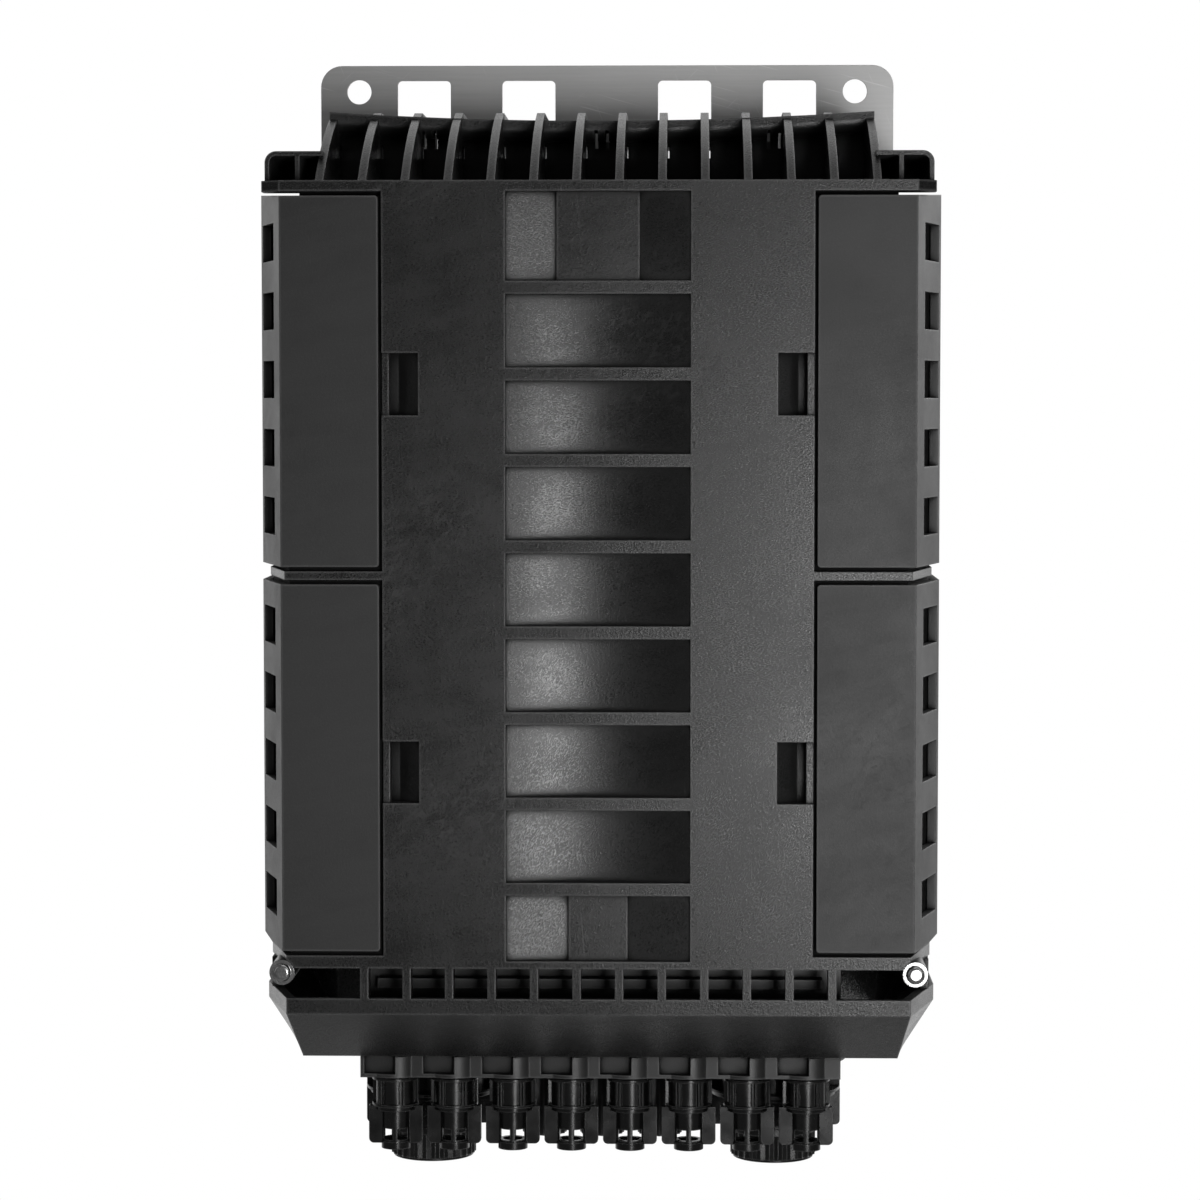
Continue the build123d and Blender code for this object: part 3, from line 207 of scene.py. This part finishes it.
def moulded_plastic(name, shade, rough, scuffs, grain):
    """Black moulded plastic: grain, cloudy flow marks, rubbed patches, light scratches, a painted highlight
    along outer edges and painted shade in gaps and recesses.
    """
    g = Graph(name)
    cloud = g.ramp(g.noise(24.0, 4.0, 0.62, distortion=0.5), 0.35, 0.68)
    wisps = g.ramp(g.noise(1.0, 4.0, 0.65, g.turned((26.0, 90.0, 180.0), (0.0, 0.2, 0.0))), 0.38, 0.66)
    speck = g.ramp(g.noise(1300.0, 3.0, 0.7), 0.5, 0.72)
    rub = g.ramp(g.noise(1.0, 6.0, 0.78, g.turned((210.0, 400.0, 420.0), (0.0, 0.7, 0.0)), 1.0), 0.5, 0.64)
    where = g.ramp(g.noise(11.0, 2.0, 0.5), 0.42, 0.62)
    rubbed = g.math("MULTIPLY", rub, where)
    marks = g.math("MAXIMUM", scratches(g, 1100.0, 12.0, 0.08, 19.0), scratches(g, 1300.0, 14.0, 0.7, 14.0))
    worn = g.math("MULTIPLY", g.math("MULTIPLY", g.math("MAXIMUM", marks, rubbed), 0.5), scuffs)
    openness = g.open_to_air(GAP_REACH)
    narrow = g.open_to_air(CRACK_REACH)
    rounded = g.edges(MOULDED_ROUND)
    edge = g.painted_edge_highlight(g.edges(EDGE_HIGHLIGHT_WIDTH), narrow)
    tone = g.mix(cloud, grey(shade * 0.8), grey(shade * 1.15))
    tone = g.mix(g.math("MULTIPLY", wisps, 0.35), tone, grey(shade * 1.7))
    tone = g.mix(g.math("MULTIPLY", speck, 0.5 * grain), tone, grey(shade * 3.0))
    tone = g.mix(worn, tone, grey(SCUFF_TONE))
    # painted highlight along outer edges, lighter than the plastic
    tone = g.mix(g.math("MULTIPLY", edge, EDGE_HIGHLIGHT_SHARE), tone, grey(EDGE_HIGHLIGHT_TONE))
    # painted shade: the base colour goes dark in gaps, recesses and corners
    shown = g.math("MULTIPLY", g.ramp(openness, 0.3, 0.8), g.ramp(narrow, 0.4, 0.75))
    g.set(Base_Color=g.mix(shown, grey(PAINTED_CREVICE_SHADE), tone))
    uneven = g.math("ADD", g.ramp(cloud, 0.0, 1.0, rough - 0.04, rough + 0.04),
                    g.math("MULTIPLY", wisps, 0.03))
    level, leaning = (g.noise(1.0, 2.0, 0.7, g.turned(STROKE_GRAIN, (0.0, turn, 0.0)), 0.3)
                      for turn in (LEVEL_TURN, LEAN_TURN))
    lean = g.math("ADD", g.ramp(g.place_part(2), LEAN_LOW, LEAN_HIGH, 0.75, 0.1),
                  g.ramp(g.noise(16.0), 0.3, 0.7, -0.3, 0.3))
    strokes = g.mix(g.ramp(lean, 0.3, 0.7), level, leaning)
    glitter = g.ramp(strokes, 0.36, 0.66, 0.06 * grain, -0.06 * grain)
    uneven = g.math("ADD", uneven, g.math("ADD", glitter, g.math("MULTIPLY", rubbed, 0.06)))
    g.set(Roughness=g.math("MAXIMUM", uneven, g.ramp(shown, 0.0, 0.9, 1.0, 0.2)))
    g.set(IOR=PLASTIC_IOR)
    fine = g.bump(g.noise(1000.0, 2.0, 0.6), 0.00005, 0.8 * grain, rounded)
    orange = g.bump(strokes, 0.00006, 0.7 * grain, fine)
    g.set(Normal=g.bump(worn, 0.00008, 0.7, orange))
    return g.material


def glossy_plastic(name, shade, rough):
    """Black plastic with a shine, faint ripples, handling dust and a painted highlight along outer edges."""
    g = Graph(name)
    dust = g.ramp(g.noise(700.0, 3.0, 0.7), 0.62, 0.8)
    edge = g.painted_edge_highlight(g.edges(EDGE_HIGHLIGHT_WIDTH / 2), g.open_to_air(CRACK_REACH))
    tone = g.mix(g.math("MULTIPLY", dust, 0.25), grey(shade), grey(shade * 4))
    # painted highlight along outer edges
    g.set(Base_Color=g.mix(g.math("MULTIPLY", edge, EDGE_HIGHLIGHT_SHARE), tone, grey(GLOSS_EDGE_HIGHLIGHT_TONE)))
    g.set(Roughness=g.ramp(g.noise(120.0, 3.0), 0.3, 0.7, rough - 0.05, rough + 0.07))
    g.set(IOR=PLASTIC_IOR)
    g.set(Normal=g.bump(g.noise(260.0, 2.0, 0.5), 0.00006, 0.25, g.edges(GLOSSY_ROUND)))
    return g.material


def brushed_steel(name, shade, rough, along):
    """Stainless sheet with an even fine grain, a few scratches and cloudy handling marks."""
    g = Graph(name)
    lines = g.noise(1.0, 4.0, 0.7, g.stretch(along))
    cloud = g.ramp(g.noise(20.0, 3.0, 0.6, distortion=0.8), 0.3, 0.7)
    marks = scratches(g, 1300.0, 30.0, 1.3, 30.0)
    for turn in (0.4, -0.8):
        marks = g.math("MAXIMUM", marks, scratches(g, 1500.0, 45.0, turn, 26.0))
    tone = g.mix(cloud, grey(shade * 0.94, STEEL_WARMTH), grey(shade, STEEL_WARMTH))
    tone = g.mix(g.ramp(lines, 0.35, 0.65), tone, grey(shade * 1.06, STEEL_WARMTH))
    g.set(Base_Color=g.mix(g.math("MULTIPLY", marks, 0.5), tone, grey(BARE_SCRATCH_TONE)))
    g.set(Metallic=1.0)
    g.set(Roughness=g.math("ADD", g.ramp(lines, 0.3, 0.7, rough - 0.03, rough + 0.03),
                           g.math("MULTIPLY", cloud, 0.03)))
    brush = g.bump(lines, 0.00002, 0.25, g.edges(SHEET_ROUND))
    g.set(Normal=g.bump(marks, 0.00003, 0.3, brush))
    return g.material


def polished_metal(name, shade, rough):
    """Turned or plated steel with faint unevenness."""
    g = Graph(name)
    g.set(Base_Color=g.mix(g.ramp(g.noise(300.0), 0.3, 0.7), grey(shade * 0.9), grey(shade)))
    g.set(Metallic=1.0)
    g.set(Roughness=g.ramp(g.noise(900.0, 3.0), 0.35, 0.7, rough, rough + 0.08))
    g.set(Normal=g.bump(g.noise(1500.0, 2.0), 0.00002, 0.2, g.edges(TURNED_ROUND)))
    return g.material


def rubber(name):
    """Matt black rubber."""
    g = Graph(name)
    g.set(Base_Color=g.mix(g.ramp(g.noise(500.0), 0.4, 0.7), grey(0.018), grey(0.035)))
    g.set(Roughness=g.ramp(g.noise(200.0), 0.3, 0.7, 0.7, 0.85))
    g.set(Normal=g.bump(g.noise(1800.0, 3.0), 0.00003, 0.5))
    return g.material


def pale_plastic(name):
    """Off-white moulded plastic of the splice trays."""
    g = Graph(name)
    g.set(Base_Color=g.mix(g.ramp(g.noise(30.0, 3.0), 0.3, 0.7), grey(0.62), grey(0.70)))
    g.set(Roughness=g.ramp(g.noise(400.0), 0.3, 0.7, 0.38, 0.5))
    g.set(Normal=g.bump(g.noise(2400.0, 2.0), 0.00002, 0.3))
    return g.material


def clear_sheet(name):
    """Clear sheet of the tray lid."""
    g = Graph(name)
    g.set(Transmission_Weight=1.0, IOR=SHEET_IOR)
    g.set(Base_Color=g.mix(g.ramp(g.noise(60.0), 0.3, 0.7), grey(0.9), grey(0.96)))
    g.set(Roughness=g.ramp(g.noise(300.0, 4.0), 0.3, 0.8, 0.03, 0.12))
    return g.material


def webbing(name):
    """Woven dark strap."""
    g = Graph(name)
    weave = g.node("ShaderNodeTexWave", Scale=380.0, Distortion=0.5, bands_direction="Z")
    g.link(g.place, weave.inputs["Vector"])
    g.set(Base_Color=g.mix(weave.outputs["Fac"], grey(0.012), grey(0.05)))
    g.set(Roughness=g.ramp(weave.outputs["Fac"], 0.0, 1.0, 0.8, 0.95))
    g.set(Normal=g.bump(weave.outputs["Fac"], 0.0002, 0.6))
    return g.material


materials = {
    "shell_plastic": moulded_plastic("shell_plastic", 0.0035, 0.275, 0.4, 1.3),
    "clamp_plastic": moulded_plastic("clamp_plastic", 0.012, 0.45, 0.15, 0.6),
    "port_plastic": moulded_plastic("port_plastic", 0.004, 0.36, 0.1, 0.5),
    "gland_plastic": glossy_plastic("gland_plastic", 0.0025, 0.24),
    "bracket_steel": brushed_steel("bracket_steel", 0.42, 0.46, STEEL_GRAIN),
    "screw_steel": polished_metal("screw_steel", 0.6, 0.25),
    "pin_steel": polished_metal("pin_steel", 0.55, 0.22),
    "anchor_steel": brushed_steel("anchor_steel", 0.5, 0.3, STEEL_GRAIN),
    "chrome": polished_metal("chrome", 0.38, 0.2),
    "seal_rubber": rubber("seal_rubber"),
    "tray_plastic": pale_plastic("tray_plastic"),
    "lid_clear": clear_sheet("lid_clear"),
    "strap_webbing": webbing("strap_webbing"),
}

for name, piece in nodes.items():
    piece.data.materials.clear()
    piece.data.materials.append(materials[slot_of[name]])


# Floor, backdrop and light

FRONT_LEVEL = 0.13  # the dim side of the studio, behind the camera
BACK_LEVEL = 1.0  # the white side, behind the object
SIDE_START, SIDE_END = 0.2, 0.9  # the level rises between these shares of pointing to the back
SHADOW_NEAR, SHADOW_FAR = 0.35, 0.95  # distances over which the floor's shadow fades into the backdrop
SHADOW_SHARE = 0.55  # share of the backdrop's level that the floor takes near the object
FLOOR_DROP = 0.25  # the closure hangs clear of the floor
FLOOR_HALF = 6.0
FLOOR_TONE = 0.86


def level_by_depth(tree, depth):
    """Level of the surroundings by how far a direction points to the back."""
    made = tree.nodes.new("ShaderNodeMapRange")
    made.interpolation_type = "SMOOTHSTEP"
    tree.links.new(depth, made.inputs["Value"])
    for socket, value in (("From Min", SIDE_START), ("From Max", SIDE_END),
                          ("To Min", FRONT_LEVEL), ("To Max", BACK_LEVEL)):
        made.inputs[socket].default_value = value
    return made.outputs[0]


def pale_surface():
    """Pale floor: it keeps the shadow near the object and fades into the backdrop's level further out."""
    g = Graph("floor_pale")
    tree = g.tree
    g.set(Base_Color=grey(FLOOR_TONE), Roughness=0.9, Specular_IOR_Level=0.1)
    flat = g.node("ShaderNodeVectorMath", operation="MULTIPLY")
    g.link(g.place, flat.inputs[0])
    flat.inputs[1].default_value = (1.0, 1.0, 0.0)
    reach = g.node("ShaderNodeVectorMath", operation="LENGTH")
    g.link(flat.outputs[0], reach.inputs[0])
    depth = g.math("DIVIDE", g.place_part(1), g.math("MAXIMUM", reach.outputs["Value"], 0.01))
    glow = tree.nodes.new("ShaderNodeEmission")
    g.link(level_by_depth(tree, depth), glow.inputs["Strength"])
    path = tree.nodes.new("ShaderNodeLightPath")
    seen = g.math("MAXIMUM", path.outputs["Is Camera Ray"],
                  g.math("MAXIMUM", path.outputs["Is Glossy Ray"], path.outputs["Is Transmission Ray"]))
    fade = g.ramp(reach.outputs["Value"], SHADOW_NEAR, SHADOW_FAR, SHADOW_SHARE, 1.0)
    mixer = tree.nodes.new("ShaderNodeMixShader")
    g.link(g.math("MULTIPLY", seen, fade), mixer.inputs[0])
    g.link(g.shader.outputs[0], mixer.inputs[1])
    g.link(glow.outputs[0], mixer.inputs[2])
    g.link(mixer.outputs[0], g.out.inputs["Surface"])
    return g.material


floor_height = cad_box[0][2] - FLOOR_DROP
floor_mesh = bpy.data.meshes.new("floor")
corners = [(-1, -1), (1, -1), (1, 1), (-1, 1)]
floor_mesh.from_pydata([(x * FLOOR_HALF, y * FLOOR_HALF, floor_height) for x, y in corners], [],
                       [(0, 1, 2, 3)])
floor = bpy.data.objects.new("floor", floor_mesh)
floor_mesh.materials.append(pale_surface())
scene.collection.objects.link(floor)

world = bpy.data.worlds.new("studio")
scene.world = world
world.use_nodes = True
sky = world.node_tree
sky.nodes.clear()
way = sky.nodes.new("ShaderNodeTexCoord")
split = sky.nodes.new("ShaderNodeSeparateXYZ")
sky.links.new(way.outputs["Generated"], split.inputs[0])
surround = sky.nodes.new("ShaderNodeBackground")
surround.inputs["Color"].default_value = (1.0, 1.0, 1.0, 1.0)
sky.links.new(level_by_depth(sky, split.outputs["Y"]), surround.inputs["Strength"])
end = sky.nodes.new("ShaderNodeOutputWorld")
sky.links.new(surround.outputs[0], end.inputs["Surface"])


def lamp(name, place, target, size, power):
    """A soft rectangular lamp aimed at a point."""
    data = bpy.data.lights.new(name, "AREA")
    data.shape = "RECTANGLE"
    data.size, data.size_y = size
    data.energy = power
    made = bpy.data.objects.new(name, data)
    made.location = place
    made.rotation_euler = (Vector(target) - Vector(place)).to_track_quat("-Z", "Y").to_euler()
    scene.collection.objects.link(made)


middle = (0.0, -0.1, -0.2)  # the point that every lamp is aimed at
lamp("key", (0.46, -1.9, -0.42), middle, (0.36, 0.52), 12.5)
lamp("side", (0.95, -0.9, 0.25), middle, (0.4, 1.0), 2.0)
lamp("fill", (-1.2, -1.1, 0.2), middle, (0.5, 1.2), 1.0)
lamp("behind", (1.3, 1.5, 0.7), middle, (0.8, 1.2), 9.0)
lamp("top", (0.25, -0.55, 1.1), middle, (1.0, 0.7), 3.0)

scene.view_settings.view_transform = "Standard"
